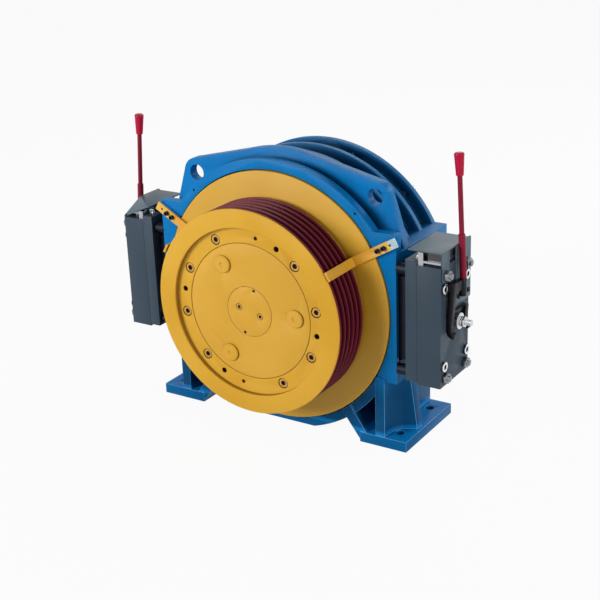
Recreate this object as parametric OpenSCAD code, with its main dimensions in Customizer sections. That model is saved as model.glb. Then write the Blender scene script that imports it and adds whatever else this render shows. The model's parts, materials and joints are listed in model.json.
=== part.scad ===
// Gearless elevator traction machine: cast frame, outer rotor with rope sheave, two block brakes.
// Millimetres. +Z is up, the rope sheave faces -Y, and X runs across the machine.
// Origin: middle of the four holding-down bolt holes, on the underside of the feet.
// Every module draws from the shaft axis at the sheave's front face, and place() puts it on the base.

/* [Base] */
// Height of the shaft above the underside of the feet
shaft_h = 267; // [266:1:285]
// Distance across the machine between the holding-down bolts
foot_pitch_x = 518; // [510:1:526]
// Distance front to back between the holding-down bolts
foot_pitch_y = 125; // [118:1:130]
// Diameter of the holding-down bolt holes
foot_hole_d = 18; // [14:1:20]
// Distance from a bolt's centre to the outer edge of its foot
foot_edge = 30; // [27:1:34]
// Thickness of the foot plates
foot_t = 21; // [16:1:26]
// Length of the feet, front to back
foot_len = 196; // [190:1:206]
// Distance from the sheave's front face back to the middle of the bolt holes
bolt_centre_back = 191; // [188:1:195]

/* [Frame casting] */
// Outer radius of the barrel between the ribs
barrel_r = 252; // [250:1:256]
// Wall of the barrel
barrel_wall = 8; // [6:1:9]
// Outer radius of the cooling ribs
rib_r = 273; // [266:1:276]
// Thickness of a cooling rib
rib_t = 12; // [8:1:16]
// Distance between neighbouring ribs
rib_pitch = 53.5; // [50:0.5:54]
// Distance from the sheave face to the middle of the first rib
rib_first = 197; // [194:1:200]
// Distance from the sheave face to the frame's front flange
flange_back = 101; // [99:0.5:102]
// Thickness of the front flange
flange_t = 20; // [17:1:24]
// Outer radius of the front flange
flange_r = 274; // [270:1:276]
// Half width of the frame across its brake seats
seat_x = 267; // [266:1:268]
// Height of the front flange's shoulders above the shaft
seat_top = 164; // [160:1:170]
// Height of the brake seats behind the front flange
seat_rear_top = 127; // [122:1:132]
// Depth of the brake seats below the shaft
seat_bottom = 131; // [128:1:134]
// Distance from the sheave face to the lifting plate
lift_back = 141; // [138:1:145]
// Thickness of the lifting plate
lift_t = 22; // [16:1:26]
// Radius of the lifting plate's top
lift_r = 288; // [284:1:292]
// Distance of a lifting hole from the middle
lift_x = 203; // [198:1:208]
// Height of a lifting hole above the shaft
lift_z = 217; // [212:1:222]
// Diameter of a lifting hole
lift_hole_d = 33; // [28:1:36]
// Metal round a lifting hole
lift_rim = 13.5; // [12:0.5:16]

/* [Rotor and sheave] */
// Outer radius of the brake drum
drum_r = 240; // [238:0.5:241]
// Radius of the rotor's front disc
disc_r = 253; // [250:0.5:254]
// Thickness of the rotor's front disc
disc_t = 16; // [14:1:17]
// Distance from the sheave face to the rotor's front disc
disc_back = 97; // [96.5:0.5:98]
// Depth of the drum behind the disc
drum_len = 150; // [146:1:154]
// Outer diameter of the rope sheave
sheave_d = 410; // [406:1:414]
// Width of the rope sheave
sheave_w = 96; // [94:0.5:96]
// Rope diameter
rope_d = 10; // [9:0.5:11]
// Number of rope grooves
groove_n = 6; // [4:1:6]
// Distance between neighbouring grooves
groove_pitch = 15.5; // [14.5:0.5:15.5]
// Width of the undercut at the bottom of a groove
undercut_w = 5; // [4:0.5:6]
// Width of the sheave's front rim
rim_w = 37; // [34:1:39]
// Depth of the recess in the sheave's front
recess_d = 11; // [8:1:13]
// Width of the ring that the sheave's screws go through
screw_ring_w = 32; // [30:1:35]
// Thickness of the sheave's web
web_t = 22; // [20:1:26]
// Angle of the first sheave screw
screw_start = 9.5; // [0:0.5:20]
// Radius of the shaft's end plate
end_plate_r = 50; // [48:0.5:52]
// Thickness of the shaft's end plate
end_plate_t = 12; // [10:1:14]

/* [Motor] */
// Radius of the gap between rotor and stator
air_gap_r = 201; // [199:0.5:202]
// Width of the gap between rotor and stator
air_gap = 2; // [1:0.25:2.5]
// Length of the stator core
core_len = 110; // [104:1:114]
// Number of stator slots
slot_n = 48; // [36:6:54]
// Number of magnets
magnet_n = 40; // [32:2:44]
// Thickness of a magnet
magnet_t = 6; // [5:0.5:7]

/* [Shaft and bearings] */
// Radius of the shaft in the hub
shaft_hub_r = 45; // [42:0.5:46]
// Radius of the shaft in the main bearing
shaft_main_r = 50; // [48:0.5:52]
// Outer radius of the main bearing
main_bearing_r = 90; // [88:1:92]
// Width of the main bearing
main_bearing_w = 46; // [42:1:48]
// Radius of the shaft in the rear bearing
shaft_rear_r = 40; // [38:0.5:42]
// Outer radius of the rear bearing
rear_bearing_r = 70; // [68:1:72]
// Width of the rear bearing
rear_bearing_w = 26; // [24:1:28]

/* [Brakes] */
// Height of a brake magnet
magnet_h = 234; // [230:1:238]
// Width of a brake magnet, front to back
brake_w = 117; // [114:1:120]
// Distance from the sheave face to the front of the brakes
brake_back = 93; // [92:0.5:94]
// Distance from the middle to a brake's outer face
brake_out_x = 361; // [358:1:366]
// Distance from the middle to the inner face of the armature
armature_x = 290; // [288:1:292]
// Thickness of the armature
armature_t = 23; // [20:1:24]
// Travel of the armature when the brake is released
brake_gap = 0.6; // [0.5:0.1:0.8]
// Height of the brake shoe
shoe_h = 164; // [150:1:168]
// Width of the brake shoe, front to back
shoe_w = 75; // [70:1:76]
// Thickness of the brake lining
lining_t = 8; // [6:1:10]
// Height between the brake's mounting bolts
brake_bolt_pitch_z = 200; // [198:1:204]
// Distance front to back between the brake's mounting bolts
brake_bolt_pitch_y = 83; // [80:1:86]
// Diameter of the brake's mounting bolts
brake_bolt_d = 12; // [10:1:12]
// Height between the brake springs
spring_pitch_z = 152; // [148:1:154]
// Distance front to back between the brake springs
spring_pitch_y = 93; // [90:1:94]
// Radius of a brake spring's bore
spring_bore_r = 9; // [8.5:0.25:9.25]

/* [Release levers] */
// Distance from the middle to a lever's rod at the socket
lever_x = 374; // [373.5:0.5:380]
// Distance from the sheave face to a lever's rod
lever_back = 159; // [157:0.5:164]
// Inward lean of the lever
lever_lean = 3.4; // [0:0.2:5]
// Length of the lever's rod above its socket
rod_len = 181; // [150:1:240]
// Radius of the upper part of the rod
rod_r = 4.6; // [3.5:0.1:5.5]
// Length of the grip
grip_len = 42; // [30:1:60]
// Radius of the grip at its top
grip_r = 9.5; // [8:0.5:12]

/* [Rope guards] */
// Angle of the rope guards above the horizontal
guard_angle = 29.5; // [27:0.5:31]
// Width of a rope guard's strap
guard_w = 18; // [14:1:20]
// Thickness of a rope guard's strap
guard_t = 4; // [3:0.5:4]
// Clearance between the sheave and a rope guard
guard_gap = 2.5; // [2:0.5:4]

/* [Hidden] */
$fn = 96;

blue = [0.08, 0.42, 0.72];
ochre = [0.87, 0.67, 0.2];
maroon = [0.33, 0.08, 0.14];
slate = [0.24, 0.3, 0.35];
steel = [0.62, 0.64, 0.66];
zinc = [0.8, 0.82, 0.84];
black = [0.07, 0.07, 0.08];
crimson = [0.75, 0.08, 0.2];
copper = [0.72, 0.4, 0.2];

// Clearances
fit = 0.05;         // between pieces of one body that are pressed or screwed together
slide_fit = 0.6;    // between a piece that slides and its guide
face_gap = 0.3;     // between curved faces that only just clear
cut = 1;            // how far a cutter runs past a face

sheave_r = sheave_d / 2;
recess_r = sheave_r - rim_w;                             // recess in the sheave's front
spigot_r = recess_r - screw_ring_w;                      // hub that the sheave is centred on
screw_circle_r = (recess_r + spigot_r) / 2 - 1;
plug_circle_r = spigot_r - 32;
rear_back = rib_first + 2 * rib_pitch + rib_t / 2;      // rear face of the frame
cavity_r = barrel_r - barrel_wall;
carrier_bolt_r = cavity_r + 9;
carrier_r = carrier_bolt_r + 9;
core_r = air_gap_r - air_gap / 2;                            // outside of the stator core
core_bore_r = 110;
slot_floor_r = core_r - 38;
disc_clear = 2.5;
recess_floor = disc_back + disc_t + 3;                   // floor of the recess for the disc
hub_back = disc_back + disc_t + 7;                       // end of the rotor's hub
web_back = recess_d + web_t;
base_clear = 5;                                          // height of the barrel above the base

brake_mid = brake_back + brake_w / 2;
magnet_in_x = armature_x + armature_t + brake_gap;

// Puts a child drawn from the shaft axis onto the base
module place() translate([0, -bolt_centre_back, shaft_h]) children();
// A child drawn round Z turns round the shaft, its base at a distance back from the sheave face
module turned(back) translate([0, back, 0]) rotate([-90, 0, 0]) children();
// A flat outline in X and Z becomes a slab from a distance back
module slab(back, t) translate([0, back + t, 0]) rotate([90, 0, 0]) linear_extrude(t) children();
// A cylinder along X, from x0 to x1
module along_x(x0, x1, r) translate([x0, 0, 0]) rotate([0, 90, 0]) cylinder(h = x1 - x0, r = r);
// A hexagon along X, by its size across the flats
module hex_x(x0, x1, flats)
    translate([x0, 0, 0]) rotate([0, 90, 0]) cylinder(h = x1 - x0, r = flats / sqrt(3), $fn = 6);
// A cylinder along the shaft, at an angle and a radius
module pin_at(angle, r, back, len, pin_r)
    translate([r * cos(angle), back, r * sin(angle)]) rotate([-90, 0, 0]) cylinder(h = len, r = pin_r);
// Mirrors a right-hand brake piece to the left
module on_side(s) {
    if (s < 0) mirror([1, 0, 0]) children();
    else children();
}

// Cap screw pointing back along the shaft, its head's face at the origin
module cap_screw(d, len) {
    difference() {
        rotate([-90, 0, 0]) cylinder(h = d, r = 0.75 * d);
        translate([0, -cut, 0]) rotate([-90, 0, 0]) cylinder(h = 0.55 * d + cut, r = 0.46 * d, $fn = 6);
    }
    translate([0, d - 0.1, 0]) rotate([-90, 0, 0]) cylinder(h = len + 0.1, r = d / 2);
}
// Cap screw at an angle and a radius from the shaft, its head in front (1) or behind (-1)
module cap_screw_at(angle, r, back, d, len, way = 1)
    translate([r * cos(angle), back, r * sin(angle)]) {
        if (way > 0) cap_screw(d, len);
        else mirror([0, 1, 0]) cap_screw(d, len);
    }
// Corner points of a rectangle with rounded corners
function round_rect(w, h, r, n = 6) = [
    for (q = [0:3]) for (i = [0:n])
        let (a = 90 * q + 90 * i / n, sx = (q == 0 || q == 3) ? 1 : -1, sy = (q < 2) ? 1 : -1)
        [sx * (w / 2 - r) + r * cos(a), sy * (h / 2 - r) + r * sin(a)]
];
function ray(r, a) = [r * cos(a), r * sin(a)];
// Places a child at the four corners of a brake's Y and Z pattern
module brake_corners(pitch_y, pitch_z)
    for (sy = [-1, 1]) for (sz = [-1, 1])
        translate([0, brake_mid + sy * pitch_y / 2, sz * pitch_z / 2]) children();

// ---- Frame ----
base_z = -shaft_h;
foot_front = bolt_centre_back - foot_len / 2 + 2;
foot_out = foot_pitch_x / 2 + foot_edge;
pocket_r = 46;                    // pocket round a holding-down bolt
wall_in = 222;                    // upright wall above each foot
wall_t = 18;
lug_r = lift_hole_d / 2 + lift_rim;
lift_angle = atan2(lift_z, lift_x);
lug_spread = acos((lift_r - lug_r) / norm([lift_x, lift_z]));
lift_foot = [seat_x - 3, seat_rear_top - 5];             // where the lifting plate's side meets the seat
lug_side = [lift_x, lift_z] + ray(lug_r - 0.2, atan2(lift_foot[1] - lift_z, lift_foot[0] - lift_x)
    + acos(lug_r / norm(lift_foot - [lift_x, lift_z])));

module lifting_outline() intersection() {
    union() {
        circle(r = lift_r);
        for (s = [-1, 1]) on_side(s) {
            translate([lift_x, lift_z]) circle(r = lug_r);
            polygon([
                [0, 0],
                ray(lift_r - 0.3, lift_angle - lug_spread),
                [lift_x, lift_z] + ray(lug_r - 0.3, lift_angle - lug_spread),
                [lift_x, lift_z] + ray(lug_r - 0.3, lift_angle + lug_spread),
                ray(lift_r - 0.3, lift_angle + lug_spread)
            ]);
            polygon([[150, 100], [lift_foot[0], 100], lift_foot, lug_side, [lift_x, lift_z], [150, 180]]);
        }
    }
    translate([-seat_x - cut, 0]) square([2 * seat_x + 2 * cut, 400]);
}

module foot() {
    translate([188, foot_front, base_z]) cube([foot_out - 188, foot_len, foot_t]);
    // Sloping wall from the barrel down to the foot
    slab(foot_front + 2, foot_len - 2) polygon([
        [142, -202], [190, base_z], [214, base_z], [201, base_z + foot_t], [162, -188]
    ]);
    // Wall that closes the core pocket at the back
    slab(foot_front + foot_len - 10, 10) polygon([
        [160, -189], [200, base_z + foot_t - cut], [wall_in + 4, base_z + foot_t - cut],
        [wall_in + 4, -125], [190, -155]
    ]);
    difference() {
        slab(foot_front + 2, foot_len - 2) polygon([
            [wall_in, base_z + cut], [281, base_z + cut], [281, base_z + foot_t],
            [seat_x, -seat_bottom + 2], [wall_in, -seat_bottom + 8]
        ]);
        bolt_pocket(bolt_centre_back - foot_pitch_y / 2 - 16.5, -1);
        bolt_pocket(bolt_centre_back + foot_pitch_y / 2 - 31.5, 1);
    }
}
// Pocket that leaves room for a spanner, open outwards and to the front (-1) or the back (1)
module bolt_pocket(back, way) translate([288, back, base_z + foot_t]) {
    cylinder(h = 200, r = pocket_r);
    translate([-pocket_r, way < 0 ? -100 : 0, 0]) cube([100, 100, 200]);
}

module casting() place() difference() {
    union() {
        intersection() {
            union() {
                turned(flange_back) cylinder(h = rear_back - flange_back, r = barrel_r);
                turned(flange_back) cylinder(h = flange_t, r = flange_r);
                for (i = [0:2])
                    turned(rib_first + i * rib_pitch - rib_t / 2) cylinder(h = rib_t, r = rib_r);
                turned(lift_back) cylinder(h = lift_t, r = rib_r);
                slab(lift_back, lift_t) lifting_outline();
                // Seats for the brakes
                for (s = [-1, 1]) on_side(s) translate([192, flange_back, -seat_bottom]) {
                    cube([seat_x - 192, rear_back - flange_back, seat_rear_top + seat_bottom]);
                    cube([seat_x - 192, flange_t, seat_top + seat_bottom]);
                }
            }
            translate([-seat_x, 0, base_z + base_clear]) cube([2 * seat_x, 400, 700]);
        }
        for (s = [-1, 1]) on_side(s) {
            foot();
            // Stop behind the brake
            translate([seat_x - cut, 215, -seat_bottom])
                cube([armature_x - seat_x + cut, 35, seat_bottom + seat_rear_top - 6]);
            // Boss under the rope guard
            intersection() {
                rotate([0, -guard_angle, 0]) translate([258, disc_back - 1, -10]) cube([46, 6, 20]);
                translate([0, 0, 0]) cube([seat_x, 200, 200]);
            }
        }
    }
    // Recess for the rotor's disc, and the bore behind it
    turned(0) cylinder(h = recess_floor, r = disc_r + disc_clear);
    turned(0) cylinder(h = rear_back + cut, r = cavity_r);
    for (s = [-1, 1]) on_side(s) {
        // Window for the brake shoe
        translate([200, brake_mid - shoe_w / 2 - 4, -shoe_h / 2 - 4]) cube([120, shoe_w + 8, shoe_h + 8]);
        // Tapped holes for the brake
        brake_corners(brake_bolt_pitch_y, brake_bolt_pitch_z) along_x(240, 300, brake_bolt_d / 2 + 0.02);
        // Holding-down bolt holes
        for (sy = [-1, 1])
            translate([foot_pitch_x / 2, bolt_centre_back + sy * foot_pitch_y / 2, base_z - cut])
                cylinder(h = foot_t + 2 * cut, r = foot_hole_d / 2);
        // Lifting hole
        translate([lift_x, lift_back - cut, lift_z]) rotate([-90, 0, 0])
            cylinder(h = lift_t + 2 * cut, r = lift_hole_d / 2);
        // Drilled dimple beside each shoulder, and the rope guard's screws
        pin_at(46.6, 266, flange_back - cut, 9, 2.5);
        for (r = [270, 284]) pin_at(guard_angle, r, disc_back - 3, 14, 3.02);
    }
    for (i = [0:11]) pin_at(15 + 30 * i, carrier_bolt_r, rear_back - rib_t, rib_t + cut, 5.02);
}

// The casting is kept in three solids: the feet are cut off along flat planes
module foot_space() translate([foot_cut_x, 0, base_z - 10])
    cube([300, 400, 10 - base_z - seat_bottom - 3]);
foot_cut_x = 150;
module frame() color(blue) difference() {
    casting();
    for (s = [-1, 1]) on_side(s) place() foot_space();
}
module cast_foot(s) color(blue) intersection() {
    casting();
    on_side(s) place() foot_space();
}
module foot_left() cast_foot(-1);
module foot_right() cast_foot(1);

// ---- Stator carrier: rear shield and bearing tube ----
bearing_back = 130;               // front face of the main bearing
rear_bearing_back = 270;
core_back = 140;
carrier_rear = rear_back + 16;
boss_rear = carrier_rear + 10;

module stator_carrier() color(blue) place() difference() {
    union() {
        turned(0) rotate_extrude() polygon([
            [main_bearing_r + 0.02, bearing_back - 2], [core_bore_r, bearing_back - 2],
            [core_bore_r, core_back + core_len], [core_bore_r + 8, core_back + core_len],
            [core_bore_r + 8, rear_back - 20], [140, rear_back - 4], [230, rear_back - 4],
            [234, rear_back - 8], [cavity_r - fit, rear_back - 8], [cavity_r - fit, rear_back],
            [carrier_r, rear_back], [carrier_r, carrier_rear - 2], [carrier_r - 2, carrier_rear],
            [84, carrier_rear], [82, boss_rear], [rear_bearing_r + 0.02, boss_rear],
            [rear_bearing_r + 0.02, rear_bearing_back], [66, rear_bearing_back],
            [66, bearing_back + main_bearing_w], [main_bearing_r + 0.02, bearing_back + main_bearing_w]
        ]);
        // Stiffening ribs
        for (i = [0:5]) rotate([0, 60 * i, 0])
            translate([78, carrier_rear - 1, -6]) cube([160, 11, 12]);
        // Pad for the terminal box
        translate([-72, carrier_rear - 1, 90]) cube([144, 11, 94]);
    }
    for (i = [0:11]) pin_at(15 + 30 * i, carrier_bolt_r, rear_back - cut, 20, 5.1);
}

module carrier_bolts() color(steel) place()
    for (i = [0:11]) cap_screw_at(15 + 30 * i, carrier_bolt_r, carrier_rear + 10, 10, 27, -1);

// ---- Stator ----
module stator_core() color(steel) place() difference() {
    turned(core_back) difference() {
        cylinder(h = core_len, r = core_r);
        translate([0, 0, -cut]) cylinder(h = core_len + 2 * cut, r = core_bore_r + fit);
    }
    for (i = [0:slot_n - 1]) rotate([0, 360 * i / slot_n, 0])
        translate([slot_floor_r, core_back - cut, -6]) cube([60, core_len + 2 * cut, 12]);
}

module stator_winding() color(copper) place() {
    for (y = [core_back - 18, core_back + core_len + 0.1]) turned(y) difference() {
        cylinder(h = 17.9, r = core_r - 4);
        translate([0, 0, -cut]) cylinder(h = 30, r = core_r - 50);
    }
    for (i = [0:slot_n - 1]) rotate([0, 360 * i / slot_n, 0])
        translate([slot_floor_r + 0.3, core_back - 2, -5.7]) cube([33, core_len + 4, 11.4]);
}

// ---- Bearings ----
// Half section of a bearing ring, with its ball track
module ring_section(r_in, r_out, width, ball_circle, track_r) difference() {
    translate([r_in, 0]) square([r_out - r_in, width]);
    translate([ball_circle, width / 2]) circle(r = track_r);
}
main_ball_circle = (shaft_main_r + main_bearing_r) / 2;
rear_ball_circle = (shaft_rear_r + rear_bearing_r) / 2;
main_ball_r = 12.5;
rear_ball_r = 9;

module main_bearing_outer() color(steel) place() turned(bearing_back) rotate_extrude()
    ring_section(main_ball_circle + 7, main_bearing_r, main_bearing_w, main_ball_circle, main_ball_r + 0.2);
module main_bearing_inner() color(steel) place() turned(bearing_back) rotate_extrude()
    ring_section(shaft_main_r + 0.02, main_ball_circle - 7, main_bearing_w, main_ball_circle, main_ball_r + 0.2);
module rear_bearing_outer() color(steel) place() turned(rear_bearing_back) rotate_extrude()
    ring_section(rear_ball_circle + 5.5, rear_bearing_r, rear_bearing_w, rear_ball_circle, rear_ball_r + 0.2);
module rear_bearing_inner() color(steel) place() turned(rear_bearing_back) rotate_extrude()
    ring_section(shaft_rear_r + 0.02, rear_ball_circle - 5.5, rear_bearing_w, rear_ball_circle, rear_ball_r + 0.2);
module bearing_balls() color(zinc) place() {
    for (i = [0:13]) rotate([0, 360 / 14 * i, 0])
        translate([main_ball_circle, bearing_back + main_bearing_w / 2, 0]) sphere(r = main_ball_r);
    for (i = [0:14]) rotate([0, 24 * i, 0])
        translate([rear_ball_circle, rear_bearing_back + rear_bearing_w / 2, 0]) sphere(r = rear_ball_r);
}

// ---- Shaft ----
key_w = 25;
nut_back = rear_bearing_back + rear_bearing_w + 0.1;
stub_end = boss_rear + 34;
module shaft() color(steel) place() difference() {
    turned(0) rotate_extrude() polygon([
        [0, recess_d + end_plate_t], [shaft_hub_r - 1, recess_d + end_plate_t],
        [shaft_hub_r, recess_d + end_plate_t + 1], [shaft_hub_r, bearing_back],
        [shaft_main_r, bearing_back], [shaft_main_r, bearing_back + main_bearing_w],
        [58, bearing_back + main_bearing_w], [58, rear_bearing_back],
        [shaft_rear_r, rear_bearing_back], [shaft_rear_r, nut_back - 1], [38, nut_back - 1],
        [38, nut_back + 15], [20, nut_back + 15], [20, nut_back + 26], [10, nut_back + 26],
        [10, stub_end - 1], [9, stub_end], [0, stub_end]
    ]);
    translate([-key_w / 2, 42, shaft_hub_r - 9]) cube([key_w, 70, 20]);
    for (a = [165.5, 345.5]) pin_at(a, 24.5, recess_d + end_plate_t - cut, 30, 4.02);
}
module shaft_key() color(steel) place()
    translate([-key_w / 2 + 0.02, 42.1, shaft_hub_r - 8.95]) cube([key_w - 0.04, 69.8, 13.9]);
module shaft_end_plate() color(ochre) place() difference() {
    turned(recess_d) cylinder(h = end_plate_t - 0.02, r = end_plate_r);
    for (a = [165.5, 345.5]) {
        pin_at(a, 24.5, recess_d - cut, 9.3, 7);
        pin_at(a, 24.5, recess_d, end_plate_t, 4.3);
    }
    // Jacking holes
    for (a = [74.5, 254.5]) pin_at(a, end_plate_r - 4.5, recess_d - cut, end_plate_t + 2 * cut, 3);
}
module end_plate_screws() color(ochre) place()
    for (a = [165.5, 345.5]) cap_screw_at(a, 24.5, recess_d + 0.3, 8, 24);
module shaft_locknut() color(steel) place() difference() {
    turned(nut_back) cylinder(h = 13, r = 50);
    turned(nut_back - cut) cylinder(h = 20, r = 38.02);
    for (i = [0:3]) rotate([0, 90 * i, 0]) translate([45, nut_back - cut, -4]) cube([20, 20, 8]);
}

// ---- Rotor: hub, disc and brake drum in one casting ----
magnet_in = air_gap_r + air_gap / 2;
drum_in = magnet_in + magnet_t + fit;
flange_end = web_back + web_t;
module rotor() color(ochre) place() difference() {
    turned(0) rotate_extrude() polygon([
        [shaft_hub_r + 0.02, recess_d + end_plate_t], [end_plate_r + 0.3, recess_d + end_plate_t],
        [end_plate_r + 0.3, recess_d + 0.8], [end_plate_r + 1.1, recess_d],
        [spigot_r - 1.2, recess_d], [spigot_r - fit, recess_d + 1.2], [spigot_r - fit, web_back],
        [recess_r + 2, web_back], [recess_r + 2, flange_end - 2], [recess_r, flange_end],
        [spigot_r - 10, flange_end + 4], [spigot_r - 16, flange_end + 12],
        [spigot_r - 16, disc_back - 10], [spigot_r - 6, disc_back], [disc_r - 1, disc_back],
        [disc_r, disc_back + 1], [disc_r, disc_back + disc_t], [drum_r, disc_back + disc_t],
        [drum_r, disc_back + disc_t + drum_len], [drum_in, disc_back + disc_t + drum_len],
        [drum_in, disc_back + disc_t + 4], [drum_in - 4, disc_back + disc_t],
        [62, disc_back + disc_t], [62, bearing_back - 0.02], [shaft_hub_r + 0.02, bearing_back - 0.02]
    ]);
    translate([-key_w / 2, recess_d, 0]) cube([key_w, bearing_back, shaft_hub_r + 5]);
    for (a = screw_angles) pin_at(a, screw_circle_r, web_back - cut, web_t + 2 * cut, 6.02);
    for (a = dowel_angles) pin_at(a, screw_circle_r, web_back - cut, web_t - 4, 4.02);
    // Lifting threads
    for (a = plug_angles) pin_at(a, plug_circle_r, recess_d - cut, 26, 8.02);
}
plug_angles = [2.5, 122.5, 242.5];
// The sheave's circle has ten places: eight screws and two dowels
screw_angles = [for (i = [0:9]) if (i % 5 != 2) screw_start + 36 * i];
dowel_angles = [screw_start + 72, screw_start + 252];
jack_angles = [for (i = [1, 4, 6, 9]) screw_start + 36 * i + 18];

// Domed caps that close the lifting threads
module hub_plugs() color(ochre) place()
    for (a = plug_angles) translate([plug_circle_r * cos(a), recess_d, plug_circle_r * sin(a)])
        rotate([90, 0, 0]) rotate_extrude() polygon([
            [0, -20], [8, -20], [8, 0.02], [17.3, 0.02], [17.5, 2.6], [15.5, 4.4], [8, 5],
            [4.5, 5], [3.4, 3.4], [0, 3.2]
        ]);
module magnets() color(steel) place() difference() {
    turned(core_back) difference() {
        cylinder(h = core_len, r = magnet_in + magnet_t);
        translate([0, 0, -cut]) cylinder(h = core_len + 2 * cut, r = magnet_in);
    }
    for (i = [0:magnet_n - 1]) rotate([0, 360 * i / magnet_n, 0])
        translate([180, core_back - cut, -2]) cube([60, core_len + 2 * cut, 4]);
}

// ---- Rope sheave ----
rope_r = rope_d / 2;
groove_r = rope_r * 1.03;
rope_circle_r = sheave_r - rope_r;
groove_first = sheave_w - 5 - (groove_n - 1) * groove_pitch;
module groove_section() {
    circle(r = groove_r);
    polygon([
        [-1, 0.2 - groove_r], [rope_r + cut, -groove_r - 0.8], [rope_r + cut, groove_r + 0.8],
        [-1, groove_r - 0.2]
    ]);
    translate([-rope_r - 3, -undercut_w / 2]) square([rope_r + 3, undercut_w]);
}
module sheave() color(maroon) place() difference() {
    turned(0) rotate_extrude() difference() {
        polygon([
            [spigot_r, recess_d + 1], [spigot_r + 1, recess_d], [recess_r, recess_d],
            [recess_r, 1], [recess_r + 1, 0],
            [sheave_r - 1.5, 0], [sheave_r, 1.5], [sheave_r, sheave_w - 1.5],
            [sheave_r - 1.5, sheave_w], [recess_r + 10, sheave_w], [recess_r + 6, web_back],
            [spigot_r, web_back]
        ]);
        for (i = [0:groove_n - 1])
            translate([rope_circle_r, groove_first + i * groove_pitch]) groove_section();
    }
    for (a = screw_angles) {
        pin_at(a, screw_circle_r, recess_d - cut, 13 + cut, 10.7);
        pin_at(a, screw_circle_r, recess_d, web_t + cut, 6.6);
    }
    for (a = dowel_angles) pin_at(a, screw_circle_r, recess_d - cut, web_t + 2 * cut, 4.02);
    for (a = jack_angles) pin_at(a, screw_circle_r, recess_d - cut, web_t + 2 * cut, 5.6);
}
module sheave_screws() color(ochre) place()
    for (a = screw_angles) cap_screw_at(a, screw_circle_r, recess_d + 0.98, 12, 28);
module sheave_dowels() color(steel) place()
    for (a = dowel_angles) pin_at(a, screw_circle_r, recess_d + 4, 32, 4);

// ---- Rope guards ----
guard_in = sheave_r + guard_gap;
guard_end = 312;
module rope_guard(s) place() on_side(s) rotate([0, -guard_angle, 0]) difference() {
    union() {
        translate([guard_in, -1, -guard_w / 2]) cube([guard_t, brake_back + 3, guard_w]);
        translate([guard_in, disc_back - 1 - guard_t, -guard_w / 2])
            cube([guard_end - guard_in, guard_t, guard_w]);
    }
    for (r = [270, 284]) translate([r, 80, 0]) rotate([-90, 0, 0]) cylinder(h = 30, r = 3.3);
    translate([298, 80, 0]) rotate([-90, 0, 0]) cylinder(h = 30, r = 2.5);
}
module rope_guard_left() color(ochre) rope_guard(-1);
module rope_guard_right() color(ochre) rope_guard(1);
module rope_guard_screws() color(zinc) place()
    for (s = [-1, 1]) on_side(s) for (r = [270, 284])
        cap_screw_at(guard_angle, r, disc_back - 1 - guard_t - 6, 6, 13);

// ---- Terminal box ----
box_z = 137;
box_rear = boss_rear + 44;
module terminal_box() color(blue) place() difference() {
    translate([-75, boss_rear, box_z - 45]) cube([150, 44, 90]);
    difference() {
        translate([-72, boss_rear + 3, box_z - 42]) cube([144, 60, 84]);
        // Posts for the lid's screws
        for (x = [-68, 68]) for (z = [-38, 38])
            translate([x, boss_rear, box_z + z]) rotate([-90, 0, 0]) cylinder(h = 44, r = 5);
    }
    for (z = [-20, 20]) translate([0, boss_rear + 22, box_z + z]) along_x(-80, -70, 10);
    for (x = [-68, 68]) for (z = [-38, 38])
        translate([x, box_rear - 12, box_z + z]) rotate([-90, 0, 0]) cylinder(h = 20, r = 2.02);
}
module terminal_box_lid() color(blue) place() difference() {
    translate([-77, box_rear + 0.02, box_z - 47]) cube([154, 4, 94]);
    for (x = [-68, 68]) for (z = [-38, 38])
        translate([x, box_rear - cut, box_z + z]) rotate([-90, 0, 0]) cylinder(h = 20, r = 2.3);
}
module cable_glands() color(black) place()
    for (z = [-20, 20]) translate([0, boss_rear + 22, box_z + z]) difference() {
        union() {
            along_x(-82, -68, 9.95);
            hex_x(-83, -75.02, 24);
            along_x(-97, -82, 11);
        }
        along_x(-120, -60, 6);
    }

// ---- Encoder ----
module encoder() color(black) place() difference() {
    union() {
        turned(boss_rear - 6) cylinder(h = 7, r = rear_bearing_r);
        turned(boss_rear + 0.02) cylinder(h = 5, r = 78);
        turned(boss_rear + 4) cylinder(h = 36, r = 30);
    }
    turned(boss_rear - 10) cylinder(h = 46, r = 10.3);
    turned(boss_rear - 10) cylinder(h = 8, r = 21);
}
module encoder_cover() color(black) place() difference() {
    union() {
        turned(boss_rear + 5.04) cylinder(h = 3, r = 52);
        turned(boss_rear + 7) cylinder(h = 41, r = 40);
    }
    turned(boss_rear) cylinder(h = 45, r = 37);
}

// ---- Brakes ----
bolt_out = brake_out_x;
plug_in = brake_out_x - 11;
plug_r = spring_bore_r + 0.5;
channel_end = magnet_in_x + 26;
module across_x(x, t) translate([x, brake_mid, 0]) rotate([90, 0, 90]) linear_extrude(t) children();
module magnet_body(s) color(slate) place() on_side(s) difference() {
    across_x(magnet_in_x, brake_out_x - magnet_in_x) square([brake_w, magnet_h], center = true);
    // Ring-shaped channel for the coil
    across_x(magnet_in_x - cut, 26.4 + cut) difference() {
        polygon(round_rect(70, 116, 20));
        polygon(round_rect(40, 86, 8));
    }
    brake_corners(spring_pitch_y, spring_pitch_z) {
        along_x(magnet_in_x - cut, plug_in, spring_bore_r);
        along_x(plug_in - cut, brake_out_x + cut, plug_r + 0.02);
    }
    brake_corners(brake_bolt_pitch_y, brake_bolt_pitch_z)
        along_x(magnet_in_x - cut, brake_out_x + cut, brake_bolt_d / 2 + 0.6);
    translate([0, brake_mid, 0]) along_x(magnet_in_x - cut, brake_out_x + cut, 6.6);
    for (y = switch_posts) translate([switch_x, y, magnet_h / 2 - 12]) cylinder(h = 20, r = 2.52);
    for (y = tab_screws)
        translate([0, y, tab_bottom + 15]) along_x(brake_out_x - 12, brake_out_x + cut, 2.52);
}
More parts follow.
